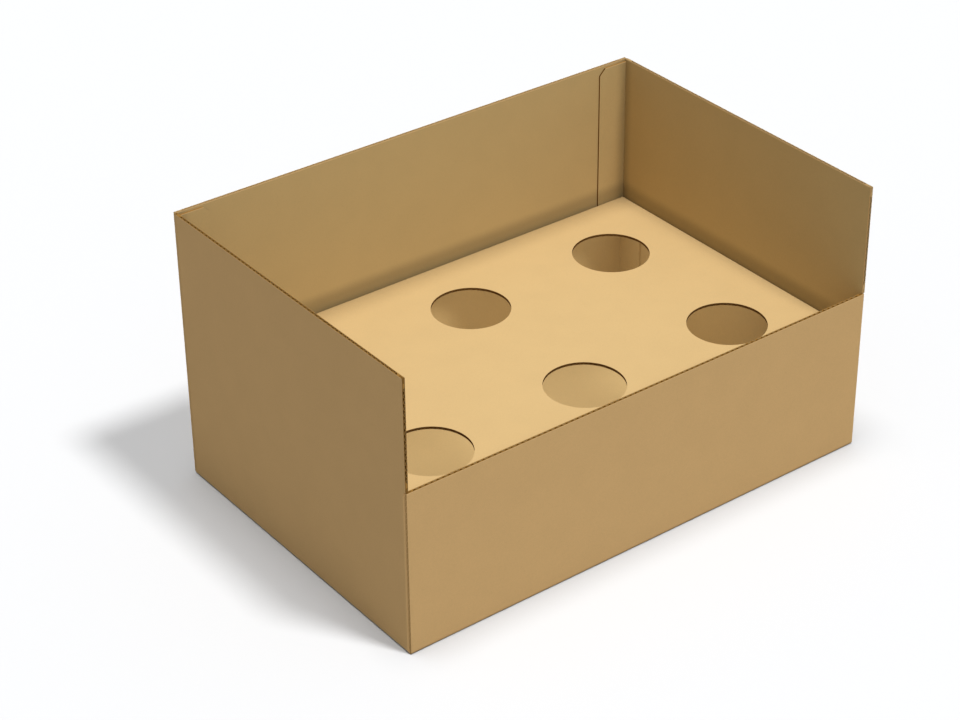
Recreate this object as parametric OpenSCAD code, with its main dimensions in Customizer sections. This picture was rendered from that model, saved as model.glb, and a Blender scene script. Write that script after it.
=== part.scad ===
// Divided display box: a die-cut corrugated tray with a low front wall, and a folded shelf
// with six round holes that stands loose inside it. Both are folded from one sheet each.
// Lengths are in mm. The front wall faces -Y, the table is z = 0, the box is centred on X and Y.
// Walls, floor and shelf keep the board thickness; each fold is a round of that radius
// about its inner crease. Glue flaps are crushed thin and are one with the wall they are glued to.

/* [Tray] */

// Outside width of the tray, left to right
tray_w = 300; // [290:5:340]

// Outside depth of the tray, front to back
tray_d = 200; // [190:5:230]

// Height of the back wall and of both side walls
wall_h = 160; // [140:5:190]

// Height of the low front wall
front_h = 96; // [86:1:110]

/* [Board] */

// Thickness of the corrugated board
board_t = 1.6; // [1.5:0.1:1.8]

// Thickness of each flat liner of the board
liner_t = 0.3; // [0.25:0.05:0.35]

// Thickness of the wavy paper between the liners
wave_t = 0.25; // [0.2:0.05:0.3]

// Length of one wave of the fluting, along a cut edge
flute_pitch = 3.4; // [3.2:0.1:4]

// Depth to which the flutes stand open behind a cut edge
flute_depth = 2.5; // [1.5:0.5:4]

/* [Glue flaps] */

// Thickness of a glue flap, crushed in the press
flap_t = 1; // [0.8:0.1:1.2]

// Length of the tray's flaps, from the side wall's inner face to the free edge
tray_flap_l = 19; // [14:1:24]

// Length of the shelf's flaps, from the cross leg's inner face to the free edge
shelf_flap_l = 17.5; // [12:0.5:22]

// Size of the slanted cut on a flap's free corners
flap_cut = 4; // [2:0.5:5]

// Step from a flap's end edges to the edges or panels next to them
flap_step = 1.4; // [0.8:0.1:1.8]

// Depth to which a flap's fold is pressed into the wall it is glued to
glue_press = 0.1; // [0.05:0.05:0.2]

// Step from a side panel's outer face to the cut end of the wall that covers its fold
end_inset = 0.5; // [0.2:0.1:0.7]

// Step from the front wall's outer face back to the side walls' cut edges above it
front_step = 0.3; // [0.1:0.1:0.8]

// Gap between the front wall's top edge and the side walls' edges that stand over its ends
notch_gap = 0.3; // [0.2:0.1:0.6]

/* [Shelf] */

// Height of the shelf's top face above the table
shelf_h = 72; // [60:1:76]

// Gap between the shelf's legs and what they face inside the tray
shelf_slip = 0.2; // [0.15:0.05:0.5]

// Diameter of the round holes
hole_d = 44; // [30:1:56]

// Spacing of the three columns of holes
hole_pitch_x = 99; // [90:1:102]

// Spacing of the two rows of holes
hole_pitch_y = 98; // [84:1:104]

/* [Hidden] */

$fn = 96;
// Inner faces of the tray's walls, measured from the middle
tray_in_x = tray_w / 2 - board_t;
tray_in_y = tray_d / 2 - board_t;
// Cut front edges of the side walls above the front wall: distance from the middle, and foot
front_edge_y = tray_d / 2 - front_step;
notch_z = front_h + notch_gap;
// Outer faces of the shelf's legs: the cross legs also clear the tray's flaps
shelf_x = tray_in_x - shelf_slip;
shelf_y = tray_in_y - flap_t - shelf_slip;
// Inner faces of the shelf's legs
shelf_in_x = shelf_x - board_t;
shelf_in_y = shelf_y - board_t;
// Underside of the shelf panel
shelf_under = shelf_h - board_t;
// Columns and rows of holes, counted from the middle one
hole_columns = [-1, 0, 1];
hole_rows = [-0.5, 0.5];
// Uncut length left at each end of a row of open flutes
flute_end = flute_depth + 0.5;
// How far the wavy paper's two faces stand from its middle line, along and across the board
wave_rise = board_t - 2 * liner_t;
wave_side = norm([flute_pitch / 2, wave_rise]);
wave_along = wave_t / 2 * wave_side / wave_rise;
wave_across = wave_t * wave_side / flute_pitch;
// Length added to a cutting shape so that it passes a face
over = 1;
kraft = [0.77, 0.62, 0.41];
kraft_light = [0.86, 0.71, 0.49];

// Part of a disc of radius r in the quarter that spans +X and +Y
module quarter(r) {
    intersection() {
        circle(r);
        square(r);
    }
}

// A panel's edge strip, standing along X: board from y = 0 to board_t, fold below, height h
module hinged_wall(length, h) {
    translate([-length / 2, 0, board_t])
        cube([length, board_t, h - board_t]);
    translate([-length / 2, 0, board_t])
        rotate([0, 90, 0])
            linear_extrude(length)
                quarter(board_t);
}

// Openings between the wavy paper and the liners, seen on a cut edge: length along X
module flute_cells(length) {
    waves = floor((length - 2 * flute_end) / flute_pitch);
    translate([-waves * flute_pitch / 2, 0])
        for (i = [0 : waves - 1])
            translate([i * flute_pitch, 0]) {
                polygon([
                    [wave_along, liner_t],
                    [flute_pitch - wave_along, liner_t],
                    [flute_pitch / 2, board_t - liner_t - wave_across]
                ]);
                if (i < waves - 1)
                    polygon([
                        [flute_pitch / 2 + wave_along, board_t - liner_t],
                        [flute_pitch, liner_t + wave_across],
                        [flute_pitch * 3 / 2 - wave_along, board_t - liner_t]
                    ]);
            }
}

// Open flutes below a level cut edge of the given length; board from y = 0 to board_t
module open_flutes(length) {
    translate([0, 0, -flute_depth])
        linear_extrude(flute_depth + over)
            flute_cells(length);
}

// Glue flap standing in XZ: fold at x = 0, free edge at x = -length, corners cut
module flap(length, h) {
    translate([0, flap_t, 0])
        rotate([90, 0, 0])
            linear_extrude(flap_t)
                polygon([
                    [0, 0],
                    [0, h],
                    [-length + flap_cut, h],
                    [-length, h - flap_cut],
                    [-length, flap_cut],
                    [-length + flap_cut, 0]
                ]);
}

// Vertical fold of height h, from an outer face on +X round to one on +Y
module upright_fold(h) {
    linear_extrude(h)
        quarter(board_t);
}

// Right side wall with its folds and both flaps; the left one is its mirror image
module side_wall() {
    fold_y = tray_in_y + glue_press - board_t;
    front_flap_top = front_h - flap_step;
    flap_z = board_t + flap_step;
    // fold to the floor
    translate([tray_in_x, tray_in_y, board_t])
        rotate([90, 0, 0])
            linear_extrude(2 * tray_in_y)
                mirror([0, 1])
                    quarter(board_t);
    // wall between its two upright folds
    translate([tray_in_x, -fold_y, board_t])
        cube([board_t, 2 * fold_y, wall_h - board_t]);
    // fold and flap at the back
    translate([tray_in_x, fold_y, board_t])
        upright_fold(wall_h - board_t);
    translate([tray_in_x, tray_in_y - flap_t, flap_z])
        flap(tray_flap_l, wall_h - flap_step - flap_z);
    // fold and flap at the front, up to the low front wall
    translate([tray_in_x, -fold_y, board_t])
        mirror([0, 1, 0])
            upright_fold(front_flap_top - board_t);
    translate([tray_in_x, -tray_in_y, flap_z])
        flap(tray_flap_l, front_flap_top - flap_z);
    // square end behind the front wall's top edge, and the cut edge that stands over its end
    translate([tray_in_x, -tray_in_y, front_flap_top])
        cube([board_t, tray_in_y - fold_y + over, wall_h - front_flap_top]);
    translate([tray_in_x, -front_edge_y, notch_z])
        cube([board_t, front_edge_y - fold_y, wall_h - notch_z]);
}

// Open flutes in the right side wall's top edge and in its front edge
module side_wall_flutes() {
    translate([tray_w / 2, (tray_in_y - front_edge_y) / 2, wall_h])
        rotate([0, 0, 90])
            open_flutes(tray_in_y + front_edge_y);
    translate([tray_in_x, -front_edge_y, (wall_h + notch_z) / 2])
        rotate([90, 0, 0])
            rotate([0, 0, 90])
                mirror([0, 1, 0])
                    open_flutes(wall_h - notch_z);
}

module outer_tray() {
    covered_w = tray_w - 2 * end_inset;
    color(kraft)
        difference() {
            union() {
                translate([-tray_in_x, -tray_in_y, 0])
                    cube([2 * tray_in_x, 2 * tray_in_y, board_t]);
                translate([0, tray_in_y, 0])
                    hinged_wall(covered_w, wall_h);
                mirror([0, 1, 0])
                    translate([0, tray_in_y, 0])
                        hinged_wall(covered_w, front_h);
                side_wall();
                mirror([1, 0, 0])
                    side_wall();
            }
            translate([0, tray_in_y, wall_h])
                open_flutes(covered_w);
            translate([0, -tray_d / 2, front_h])
                open_flutes(covered_w);
            side_wall_flutes();
            mirror([1, 0, 0])
                side_wall_flutes();
        }
}

// Leg on the +X side of the shelf, with its fold; its cut ends are left at the corners
module side_leg() {
    leg_l = 2 * (shelf_y - end_inset);
    translate([shelf_in_x, -leg_l / 2, board_t])
        cube([board_t, leg_l, shelf_under - board_t]);
    translate([shelf_in_x, leg_l / 2, shelf_under])
        rotate([90, 0, 0])
            linear_extrude(leg_l)
                quarter(board_t);
}

// Leg on the +Y side of the shelf, with its folds and the flaps glued inside the side legs
module cross_leg() {
    fold_x = shelf_in_x + glue_press - board_t;
    flap_z = board_t + flap_step;
    flap_h = shelf_under - flap_step - flap_z;
    // leg between its two upright folds, and the fold to the shelf panel
    translate([-fold_x, shelf_in_y, board_t])
        cube([2 * fold_x, board_t, shelf_under - board_t]);
    translate([-shelf_in_x, shelf_in_y, shelf_under])
        rotate([0, 90, 0])
            linear_extrude(2 * shelf_in_x)
                mirror([1, 0])
                    quarter(board_t);
    for (side = [0, 1])
        mirror([side, 0, 0]) {
            translate([fold_x, shelf_in_y, board_t])
                upright_fold(shelf_under - flap_step - board_t);
            translate([shelf_in_x, shelf_in_y, flap_z])
                rotate([0, 0, 90])
                    flap(shelf_flap_l, flap_h);
        }
}

module hole_shelf() {
    color(kraft_light)
        difference() {
            union() {
                translate([-shelf_in_x, -shelf_in_y, shelf_under])
                    cube([2 * shelf_in_x, 2 * shelf_in_y, board_t]);
                for (side = [0, 1]) {
                    mirror([side, 0, 0])
                        side_leg();
                    mirror([0, side, 0])
                        cross_leg();
                }
            }
            for (column = hole_columns, row = hole_rows)
                translate([column * hole_pitch_x, row * hole_pitch_y, shelf_under - over])
                    cylinder(d = hole_d, h = board_t + 2 * over);
        }
}

outer_tray();
hole_shelf();
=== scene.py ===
"""Divided display box: kraft E-flute board, lit softly from above on a white table."""

import functools
import math

import bpy
from mathutils import Matrix, Vector

# Board, in metres: the sizes that the source of the part uses
BOARD = 0.0016
LINER = 0.0003
FLAP = 0.0010
FLUTE_PITCH = 0.0034
FLUTE_DEPTH = 0.0025

# Outer faces and level edges, from the middle of the box's underside
WALL_X = 0.150
WALL_Y = 0.100
WALL_TOP = 0.160
FRONT_TOP = 0.096
FLAP_TOP = WALL_TOP - 0.0014
SHELF_TOP = 0.072
HOLE_RADIUS = 0.022
HOLE_PITCH_X = 0.099
HOLE_PITCH_Y = 0.098

# Upright cut edges: ends of the front and back walls, and front edges of the side walls
END_X = WALL_X - 0.0005
FRONT_EDGE = WALL_Y - 0.0003

# Length without open flutes at each end of a row, which is longer along the side walls' tops
ROW_END = 0.0030
SIDE_ROW_END = 0.0034

# Masks: half the depth that counts as a face, and the slack at the limits of a wall or a hollow
SKIN = 0.00008
SLACK = 0.00005

# Painted light and shade: how far it reaches from an edge, the foot, a corner and the shelf, and
# strengths
HIGHLIGHT_STRIP = 0.0005
HIGHLIGHT_STRENGTH = 0.6
FOLD_FADE = (BOARD * 0.4, BOARD * 1.5)
FOLD_PAINT_STRENGTH = 0.7
CORNER_REACH = 0.008
CORNER_SHADE = 0.72
FOOT_REACH = 0.012
FOOT_SHADE = 0.70
UPRIGHT_SHADE = 0.68

# Flutes where they are only drawn: thickness of the paper across the board, strength of the
# painted shade in the gaps
DRAWN_WAVE = 0.0004
END_GAPS = 0.8
ROW_END_GAPS = 0.6

# Kraft colours, linear
KRAFT_OUTSIDE = (0.660, 0.422, 0.180)
KRAFT_INSIDE = (0.549, 0.399, 0.181)
KRAFT_SHELF = (0.528, 0.366, 0.166)
# Painted shade at the front and back folds, and painted light at the side folds and beside level
# edges
KRAFT_FOLD_SHADE = (0.490, 0.306, 0.122)
KRAFT_HIGHLIGHT = (0.780, 0.545, 0.270)
# Cut edges: paper colours painted light as if lit from above on level edges, deep colours painted
# shade
CUT_PAPER = (0.550, 0.283, 0.062)
CUT_DEEP = (0.160, 0.070, 0.006)
# Painted light: lighter copies for the edges of the back and right walls
FAR_PAPER = (0.820, 0.535, 0.225)
FAR_DEEP = (0.520, 0.330, 0.130)
RIM_PAPER = (0.220, 0.115, 0.028)
RIM_DEEP = (0.080, 0.030, 0.002)

# Surface of the paper, with sizes in metres
CLOUD_SIZE = 0.020
GRAIN_SIZE = 0.0006
FIBRE_SIZE = 0.0004
FIBRE_SQUEEZE = 0.12
ROUGHNESS = 0.85
SPECULAR = 0.20
BUMP_SIZE = 0.0008
BUMP_DEPTH = 0.00003
BUMP_STRENGTH = 0.35

# Camera, fitted to the corners of the box in the photograph: radians and metres, with the lens
# and the sensor in millimetres
CAMERA_AZIMUTH = 0.669136
CAMERA_ELEVATION = 0.552431
CAMERA_ROLL = 0.002777
CAMERA_DISTANCE = 1.465301
CAMERA_TARGET = (0.079844, 0.092577, 0.0)
CAMERA_LENS = 93.395
CAMERA_SENSOR = 36.0
CAMERA_SHIFT = (-0.0586, -0.0206)

# Light: an even sky, a panel under the shelf, and three lamps that each light some of the pieces
# alone, because in the photograph the walls throw a shadow on the table and none inside the box
SKY = 0.36
SKY_SEEN = 1.0
OVERHEAD_FROM = (-0.05, 0.04, 1.0)
OVERHEAD_STRENGTH = 2.62
OVERHEAD_ANGLE = 0.34
BOX_FROM = (0.0, -1.0, 1.0)
BOX_STRENGTH = 1.25
BOX_ANGLE = 0.30
TABLE_FROM = (0.205, -0.43, 1.0)
TABLE_STRENGTH = 3.40
TABLE_ANGLE = 0.16
UNDER_SHELF_SIZE = (0.288, 0.130)
UNDER_SHELF_Y = 0.028
UNDER_SHELF_GAP = 0.001
UNDER_SHELF_POWER = 0.120
UNDER_SHELF_SPREAD = 2.7
FLOOR_SIZE = 8.0
FLOOR_SEEN = (0.456, 0.460, 0.467)
FLOOR_BOUNCE = (0.228, 0.228, 0.228)


class Nodes:
    """Short calls for the shader nodes that the finishes and the sky are made of."""

    def __init__(self, owner):
        owner.use_nodes = True
        self.tree = owner.node_tree
        self.tree.nodes.clear()

    def add(self, kind, **settings):
        node = self.tree.nodes.new(kind)
        for name, value in settings.items():
            setattr(node, name, value)
        return node

    def put(self, socket, value):
        if isinstance(value, bpy.types.NodeSocket):
            self.tree.links.new(value, socket)
        elif hasattr(value, "__len__") and socket.type == "RGBA":
            socket.default_value = (*value, 1.0)
        else:
            socket.default_value = value

    def output(self, kind, surface):
        """End the tree with an output node of the given kind, fed by the shader's node."""
        self.put(self.add(kind).inputs["Surface"], surface.outputs[0])

    def math(self, operation, *values):
        node = self.add("ShaderNodeMath", operation=operation)
        for socket, value in zip(node.inputs, values):
            self.put(socket, value)
        return node.outputs[0]

    def near(self, value, centre, reach):
        """1 where value is within reach of centre, otherwise 0."""
        return self.math("COMPARE", value, centre, reach)

    def above(self, value, limit):
        """1 where value is more than limit, otherwise 0."""
        return self.math("GREATER_THAN", value, limit)

    def all_of(self, *masks):
        """1 where every mask is 1."""
        return functools.reduce(lambda a, b: self.math("MULTIPLY", a, b), masks)

    def any_of(self, *masks):
        """1 where one of the masks is 1."""
        return functools.reduce(lambda a, b: self.math("MAXIMUM", a, b), masks)

    def none_of(self, *masks):
        """1 where no mask is 1."""
        return self.math("SUBTRACT", 1.0, self.any_of(*masks))

    def ramp(self, value, low, high, to_low=0.0, to_high=1.0):
        """Smooth step from to_low, where value is low, to to_high, where it is high."""
        node = self.add("ShaderNodeMapRange", interpolation_type="SMOOTHSTEP")
        for socket, number in zip(node.inputs, (value, low, high, to_low, to_high)):
            self.put(socket, number)
        return node.outputs[0]

    def mix(self, factor, a, b):
        """Colour a where factor is 0, colour b where it is 1."""
        node = self.add("ShaderNodeMix", data_type="RGBA")
        self.put(node.inputs["Factor"], factor)
        colours = [s for s in node.inputs if s.type == "RGBA"]
        self.put(colours[0], a)
        self.put(colours[1], b)
        return [s for s in node.outputs if s.type == "RGBA"][0]

    def scale(self, colour, factor):
        node = self.add("ShaderNodeVectorMath", operation="SCALE")
        self.put(node.inputs[0], colour)
        self.put(node.inputs["Scale"], factor)
        return node.outputs[0]

    def noise(self, position, size, detail=2.0, stretch=(1, 1, 1)):
        """Noise from 0 to 1 with features of about the given size in metres."""
        mapped = self.add("ShaderNodeMapping")
        self.put(mapped.inputs["Vector"], position)
        mapped.inputs["Scale"].default_value = stretch
        node = self.add("ShaderNodeTexNoise")
        self.put(node.inputs["Vector"], mapped.outputs[0])
        node.inputs["Scale"].default_value = 1.0 / size
        node.inputs["Detail"].default_value = detail
        return node.outputs[0]


def place(n):
    """Position in the part's frame, and its x, y and z."""
    position = n.add("ShaderNodeTexCoord").outputs["Object"]
    split = n.add("ShaderNodeSeparateXYZ")
    n.put(split.inputs[0], position)
    return position, split.outputs[0], split.outputs[1], split.outputs[2]


def paper_tone(n, position):
    """Brightness of kraft liner: faint clouds, fine grain and short fibres."""
    clouds = n.ramp(n.noise(position, CLOUD_SIZE, 3.0), 0.3, 0.7, 0.988, 1.012)
    grain = n.ramp(n.noise(position, GRAIN_SIZE, 2.0), 0.25, 0.75, 0.975, 1.025)
    fibres_x = n.noise(position, FIBRE_SIZE, 1.0, (FIBRE_SQUEEZE, 1, 1))
    fibres_z = n.noise(position, FIBRE_SIZE, 1.0, (1, 1, FIBRE_SQUEEZE))
    fibres = n.ramp(n.math("MAXIMUM", fibres_x, fibres_z), 0.62, 0.75, 1.0, 0.95)
    return n.math("MULTIPLY", n.math("MULTIPLY", clouds, grain), fibres)


def board_shader(n, position, liner, edge, cut):
    """Kraft board with the colours of its liner and of its cut edges, where cut is 1."""
    bsdf = n.add("ShaderNodeBsdfPrincipled")
    colour = n.scale(n.mix(cut, liner, edge), paper_tone(n, position))
    n.put(bsdf.inputs["Base Color"], colour)
    bsdf.inputs["Roughness"].default_value = ROUGHNESS
    bsdf.inputs["Specular IOR Level"].default_value = SPECULAR
    bump = n.add("ShaderNodeBump")
    bump.inputs["Strength"].default_value = BUMP_STRENGTH
    bump.inputs["Distance"].default_value = BUMP_DEPTH
    n.put(bump.inputs["Height"], n.noise(position, BUMP_SIZE, 3.0))
    n.put(bsdf.inputs["Normal"], bump.outputs[0])
    n.output("ShaderNodeOutputMaterial", bsdf)


def across_board(n, distance, outer_face):
    """-1 to 1 between the two liners of a panel with its outer face at the given distance."""
    middle = outer_face - BOARD / 2
    return n.math("DIVIDE", n.math("SUBTRACT", distance, middle), BOARD / 2 - LINER)


def flute_gaps(n, along, across):
    """1 in the gaps beside the wavy paper of a cut edge, 0 on the paper and the liners."""
    wave = n.math("SINE", n.math("MULTIPLY", along, 2 * math.pi / FLUTE_PITCH))
    paper = n.near(across, wave, DRAWN_WAVE / (BOARD - 2 * LINER))
    return n.math("SUBTRACT", n.near(across, 0.0, 1.0), paper)


class TrayPlace:
    """Where a point lies on the tray: the values and masks that the tray's finishes share."""

    def __init__(self, n):
        self.position, self.x, self.y, self.z = place(n)
        self.side = n.math("ABSOLUTE", self.x)
        self.cross = n.math("ABSOLUTE", self.y)
        self.forward = n.math("MULTIPLY", self.y, -1.0)
        self.at_front = n.above(self.forward, 0.0)
        # In the side walls, in the front and back walls, and between the liners of each
        self.in_side = n.above(self.side, WALL_X - BOARD + SLACK)
        self.in_cross = n.above(self.cross, WALL_Y - BOARD + SLACK)
        self.cross_across = across_board(n, self.cross, WALL_Y)
        self.side_core = n.near(across_board(n, self.side, WALL_X), 0.0, 1.0)
        self.cross_core = n.near(self.cross_across, 0.0, 1.0)


def flute_rows(n, at):
    """Rows of open flutes: the side walls' tops, the other tops, and the side walls' fronts."""
    side_row = n.all_of(at.side_core, n.near(at.y, 0.0, WALL_Y - SIDE_ROW_END))
    cross_row = n.all_of(at.cross_core, n.near(at.x, 0.0, END_X - ROW_END))
    front_row = n.all_of(
        at.side_core,
        n.near(at.z, (WALL_TOP + FRONT_TOP) / 2, (WALL_TOP - FRONT_TOP) / 2 - ROW_END),
        n.near(at.forward, FRONT_EDGE - FLUTE_DEPTH / 2, FLUTE_DEPTH / 2 + SLACK),
    )
    return side_row, cross_row, front_row


def inside_flutes(n, at, side_row, cross_row, front_row):
    """1 where a row of open flutes is cut into the board."""
    below_top = n.above(at.z, WALL_TOP - FLUTE_DEPTH - SLACK)
    below_front_top = n.all_of(
        n.near(at.z, FRONT_TOP - FLUTE_DEPTH / 2, FLUTE_DEPTH / 2 + SLACK), at.at_front
    )
    return n.any_of(
        n.all_of(side_row, below_top),
        n.all_of(cross_row, n.any_of(below_top, below_front_top)),
        front_row,
    )


def flap_edges(n, at):
    """The glue flaps' top edges, and their free upright edges."""
    on_flap = n.all_of(
        n.near(at.cross, WALL_Y - BOARD - FLAP / 2, FLAP / 2 - SKIN),
        n.near(at.side, 0.0, WALL_X - BOARD - SKIN),
    )
    top = n.all_of(on_flap, n.near(at.z, FLAP_TOP, SKIN))
    upright = n.all_of(
        on_flap, n.near(at.z, (FLAP_TOP + BOARD) / 2, (FLAP_TOP - BOARD) / 2 - SKIN * 2)
    )
    return top, upright


def tray_edges(n, at):
    """The tray's cut edges: their mask, and their colour, with painted light and shade."""
    top = n.all_of(n.near(at.z, WALL_TOP, SKIN), n.any_of(at.in_side, at.in_cross))
    front_top = n.all_of(n.near(at.z, FRONT_TOP, SKIN), at.in_cross, at.at_front)
    front_edge = n.all_of(
        n.near(at.forward, FRONT_EDGE, SKIN), at.in_side, n.above(at.z, FRONT_TOP)
    )
    faces = n.any_of(top, front_top, front_edge)
    rows = flute_rows(n, at)
    # Painted shade in the hollows of the open flutes
    deep = n.all_of(inside_flutes(n, at, *rows), n.none_of(faces))
    # Raw ends of the front and back walls, where the flutes are only drawn, as painted shade in
    # their gaps
    ends = n.all_of(n.near(at.side, END_X, SKIN), at.in_cross)
    end_gaps = n.all_of(ends, flute_gaps(n, at.z, at.cross_across))
    flap_top, flap_side = flap_edges(n, at)
    cut = n.any_of(faces, deep, n.math("MULTIPLY", end_gaps, END_GAPS), flap_top, flap_side)

    # Past the ends of the open rows, the edge only gets painted shade between its liners
    past_rows = n.all_of(faces, n.any_of(at.side_core, at.cross_core), n.none_of(*rows))
    dark = n.any_of(deep, flap_side, n.math("MULTIPLY", past_rows, ROW_END_GAPS))
    # The photograph shows the edges of the back and right walls lighter than the near ones
    # Painted light: the edges of the back and right walls get lighter copies of the near edges'
    # colours
    far = n.any_of(n.above(at.x, WALL_X - BOARD), n.above(at.y, WALL_Y - BOARD))
    near_colour = n.mix(dark, CUT_PAPER, CUT_DEEP)
    far_colour = n.mix(dark, FAR_PAPER, FAR_DEEP)
    # Painted light and shade: level edges keep colours lit as from above, upright edges are
    # darkened
    upright = n.any_of(front_edge, rows[2], ends)
    shade = n.ramp(upright, 0.0, 1.0, 1.0, UPRIGHT_SHADE)
    return cut, n.scale(n.mix(far, near_colour, far_colour), shade)


def painted_inside_shade(n, at):
    """Painted shade on the tray's inside: darker along the back corners and beside the shelf."""
    from_side = n.math("SUBTRACT", WALL_X - BOARD, at.side)
    from_back = n.math("SUBTRACT", WALL_Y - BOARD, at.y)
    from_corner = n.math("MAXIMUM", from_side, from_back)
    from_shelf = n.math("ABSOLUTE", n.math("SUBTRACT", at.z, SHELF_TOP))
    return n.math(
        "MULTIPLY",
        n.ramp(from_corner, 0.0, CORNER_REACH, CORNER_SHADE, 1.0),
        n.ramp(from_shelf, FOOT_REACH / 3, FOOT_REACH, FOOT_SHADE, 1.0),
    )


def highlight_strips(n, at):
    """1 on the strips of liner beside the level cut edges, where a highlight is painted."""
    beside_top = n.above(at.z, WALL_TOP - HIGHLIGHT_STRIP)
    beside_front = n.all_of(
        n.near(at.z, FRONT_TOP - HIGHLIGHT_STRIP / 2, HIGHLIGHT_STRIP / 2), n.above(at.forward, WALL_Y - BOARD)
    )
    beside_flap = n.all_of(
        n.near(at.z, FLAP_TOP - HIGHLIGHT_STRIP / 2, HIGHLIGHT_STRIP / 2), n.near(at.cross, WALL_Y - BOARD - FLAP, SKIN)
    )
    return n.any_of(beside_top, beside_front, beside_flap)


def tray_liner(n, at):
    """Colour of the tray's liner, outside and inside, with painted shade inside and painted light
    and shade at its folds and edges.
    """
    outer_cross = n.above(at.cross, WALL_Y - BOARD / 2)
    outside = n.any_of(n.above(at.side, WALL_X - BOARD / 2), outer_cross)
    liner = n.mix(outside, n.scale(KRAFT_INSIDE, painted_inside_shade(n, at)), KRAFT_OUTSIDE)
    # Folds at the foot: painted shade at the front and back, painted light at the sides
    fold = n.ramp(at.z, *FOLD_FADE, FOLD_PAINT_STRENGTH, 0.0)
    fold_colour = n.mix(outer_cross, KRAFT_HIGHLIGHT, KRAFT_FOLD_SHADE)
    liner = n.mix(n.math("MULTIPLY", fold, outside), liner, fold_colour)
    # Painted highlight on the liner beside the level cut edges
    return n.mix(n.math("MULTIPLY", highlight_strips(n, at), HIGHLIGHT_STRENGTH), liner, KRAFT_HIGHLIGHT)


def tray_material():
    """Board of the tray: liner on its panels, and cut edges where its panels end."""
    material = bpy.data.materials.new("kraft_tray")
    n = Nodes(material)
    at = TrayPlace(n)
    cut, edge = tray_edges(n, at)
    board_shader(n, at.position, tray_liner(n, at), edge, cut)
    return material


def shelf_material():
    """Board of the shelf. The walls of the round holes show the flutes cut across, with painted
    shade in their gaps.
    """
    material = bpy.data.materials.new("kraft_shelf")
    n = Nodes(material)
    position, x, y, z = place(n)
    column = n.math("ROUND", n.math("DIVIDE", x, HOLE_PITCH_X))
    from_x = n.math("SUBTRACT", x, n.math("MULTIPLY", column, HOLE_PITCH_X))
    from_y = n.math("SUBTRACT", n.math("ABSOLUTE", y), HOLE_PITCH_Y / 2)
    squares = n.math(
        "ADD", n.math("MULTIPLY", from_x, from_x), n.math("MULTIPLY", from_y, from_y)
    )
    on_wall = n.near(n.math("SQRT", squares), HOLE_RADIUS, SKIN)
    middle = SHELF_TOP - BOARD / 2
    rim = n.all_of(on_wall, n.near(z, middle, BOARD / 2 - SKIN))
    gaps = flute_gaps(n, x, across_board(n, z, SHELF_TOP))
    # Below the top face, the liner has the colour of the tray's inside
    liner = n.mix(n.above(z, middle), KRAFT_INSIDE, KRAFT_SHELF)
    board_shader(n, position, liner, n.mix(gaps, RIM_PAPER, RIM_DEEP), rim)
    return material


def seen_directly(n):
    """1 for rays from the camera, in mirrors and through glass, 0 for light that is scattered."""
    light_path = n.add("ShaderNodeLightPath")
    names = ("Is Camera Ray", "Is Glossy Ray", "Is Transmission Ray")
    return n.any_of(*(light_path.outputs[name] for name in names))


def floor_material():
    """White table. It throws less light back on to the box than it shows to the camera."""
    material = bpy.data.materials.new("table_white")
    n = Nodes(material)
    diffuse = n.add("ShaderNodeBsdfDiffuse")
    n.put(diffuse.inputs["Color"], n.mix(seen_directly(n), FLOOR_BOUNCE, FLOOR_SEEN))
    n.output("ShaderNodeOutputMaterial", diffuse)
    return material


def add_floor():
    """The table's top, level with the foot of the box."""
    bpy.ops.mesh.primitive_plane_add(size=FLOOR_SIZE, location=(0, 0, 0))
    floor = bpy.context.object
    floor.name = "table_floor"
    floor.data.materials.append(floor_material())
    return floor


def add_object(name, data):
    """New object in the scene's own collection."""
    item = bpy.data.objects.new(name, data)
    bpy.context.scene.collection.objects.link(item)
    return item


def add_lamp(name, direction, strength, angle, lit):
    """Distant soft lamp that lights only the given objects."""
    sun = bpy.data.lights.new(name, "SUN")
    sun.energy = strength
    sun.angle = angle
    lamp = add_object(name, sun)
    lamp.rotation_euler = Vector(direction).to_track_quat("Z", "Y").to_euler()
    lamp.light_linking.receiver_collection = bpy.data.collections.new(name + "_lights")
    for item in lit:
        lamp.light_linking.receiver_collection.objects.link(item)


def add_light_under_shelf():
    """Unseen panel against the shelf's underside: the photograph shows light in the holes."""
    panel = bpy.data.lights.new("light_under_shelf", "AREA")
    panel.shape = "RECTANGLE"
    panel.size, panel.size_y = UNDER_SHELF_SIZE
    panel.energy = UNDER_SHELF_POWER
    panel.spread = UNDER_SHELF_SPREAD
    lamp = add_object("light_under_shelf", panel)
    lamp.location = (0, UNDER_SHELF_Y, SHELF_TOP - BOARD - UNDER_SHELF_GAP)
    lamp.visible_camera = False


def add_sky():
    """Even light from all of the sky, behind a plain white."""
    world = bpy.data.worlds.new("white_room")
    bpy.context.scene.world = world
    n = Nodes(world)
    background = n.add("ShaderNodeBackground")
    background.inputs["Color"].default_value = (1.0, 1.0, 1.0, 1.0)
    n.put(background.inputs["Strength"], n.ramp(seen_directly(n), 0.0, 1.0, SKY, SKY_SEEN))
    n.output("ShaderNodeOutputWorld", background)


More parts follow.
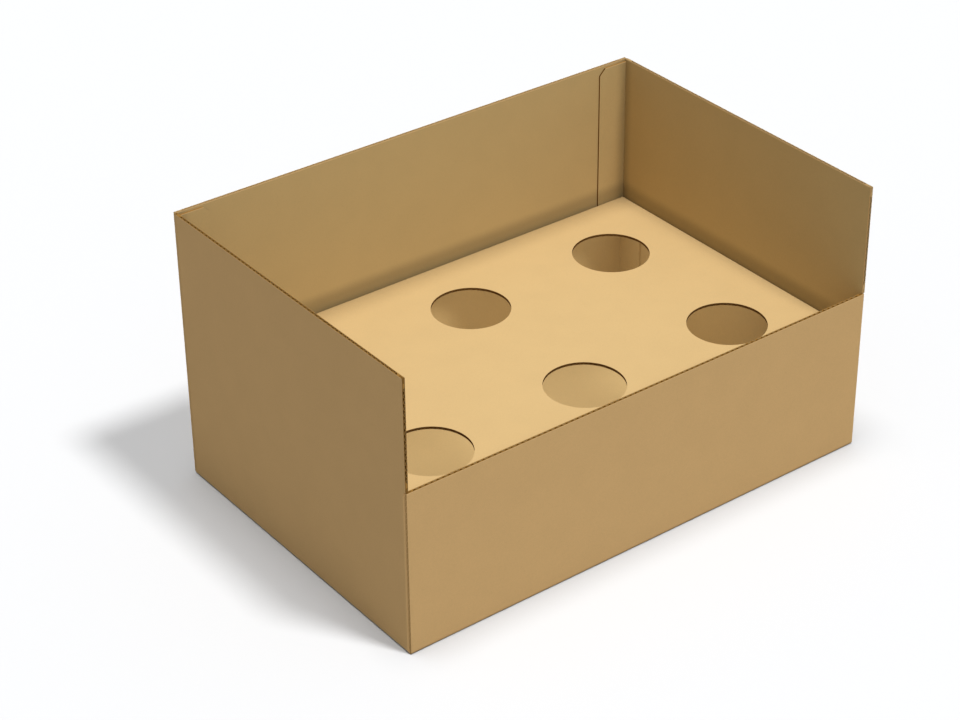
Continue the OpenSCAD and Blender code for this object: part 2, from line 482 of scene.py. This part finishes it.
def add_camera():
    """The camera looks at CAMERA_TARGET from in front, to the left and above."""
    level_reach = math.cos(CAMERA_ELEVATION)
    ahead_x = math.sin(CAMERA_AZIMUTH) * level_reach
    ahead_y = math.cos(CAMERA_AZIMUTH) * level_reach
    ahead = Vector((ahead_x, ahead_y, -math.sin(CAMERA_ELEVATION)))
    level = Vector((math.cos(CAMERA_AZIMUTH), -math.sin(CAMERA_AZIMUTH), 0))
    upward = level.cross(ahead)
    right = level * math.cos(CAMERA_ROLL) + upward * math.sin(CAMERA_ROLL)
    up = upward * math.cos(CAMERA_ROLL) - level * math.sin(CAMERA_ROLL)
    camera = bpy.data.cameras.new("photo_camera")
    camera.lens = CAMERA_LENS
    camera.sensor_width = CAMERA_SENSOR
    camera.shift_x, camera.shift_y = CAMERA_SHIFT
    holder = add_object("photo_camera", camera)
    turn = Matrix((right, up, -ahead)).transposed().to_4x4()
    eye = Vector(CAMERA_TARGET) - ahead * CAMERA_DISTANCE
    holder.matrix_world = Matrix.Translation(eye) @ turn
    bpy.context.scene.camera = holder


def dress(node, material):
    """Give a node of the CAD one material."""
    node.data.materials.clear()
    node.data.materials.append(material)


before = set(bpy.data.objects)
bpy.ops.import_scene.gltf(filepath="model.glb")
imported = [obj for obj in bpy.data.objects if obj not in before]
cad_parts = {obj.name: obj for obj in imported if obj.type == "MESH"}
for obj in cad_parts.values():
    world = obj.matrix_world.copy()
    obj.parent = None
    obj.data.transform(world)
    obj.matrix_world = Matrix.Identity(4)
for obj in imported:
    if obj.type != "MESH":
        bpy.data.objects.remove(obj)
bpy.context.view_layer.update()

bpy.context.scene.view_settings.view_transform = "Standard"
tray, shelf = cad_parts["outer_tray"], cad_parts["hole_shelf"]
dress(tray, tray_material())
dress(shelf, shelf_material())
floor = add_floor()
add_lamp("overhead_lamp", OVERHEAD_FROM, OVERHEAD_STRENGTH, OVERHEAD_ANGLE, (shelf, floor))
add_lamp("box_lamp", BOX_FROM, BOX_STRENGTH, BOX_ANGLE, (tray, shelf))
add_lamp("table_lamp", TABLE_FROM, TABLE_STRENGTH, TABLE_ANGLE, (floor,))
add_light_under_shelf()
add_sky()
add_camera()
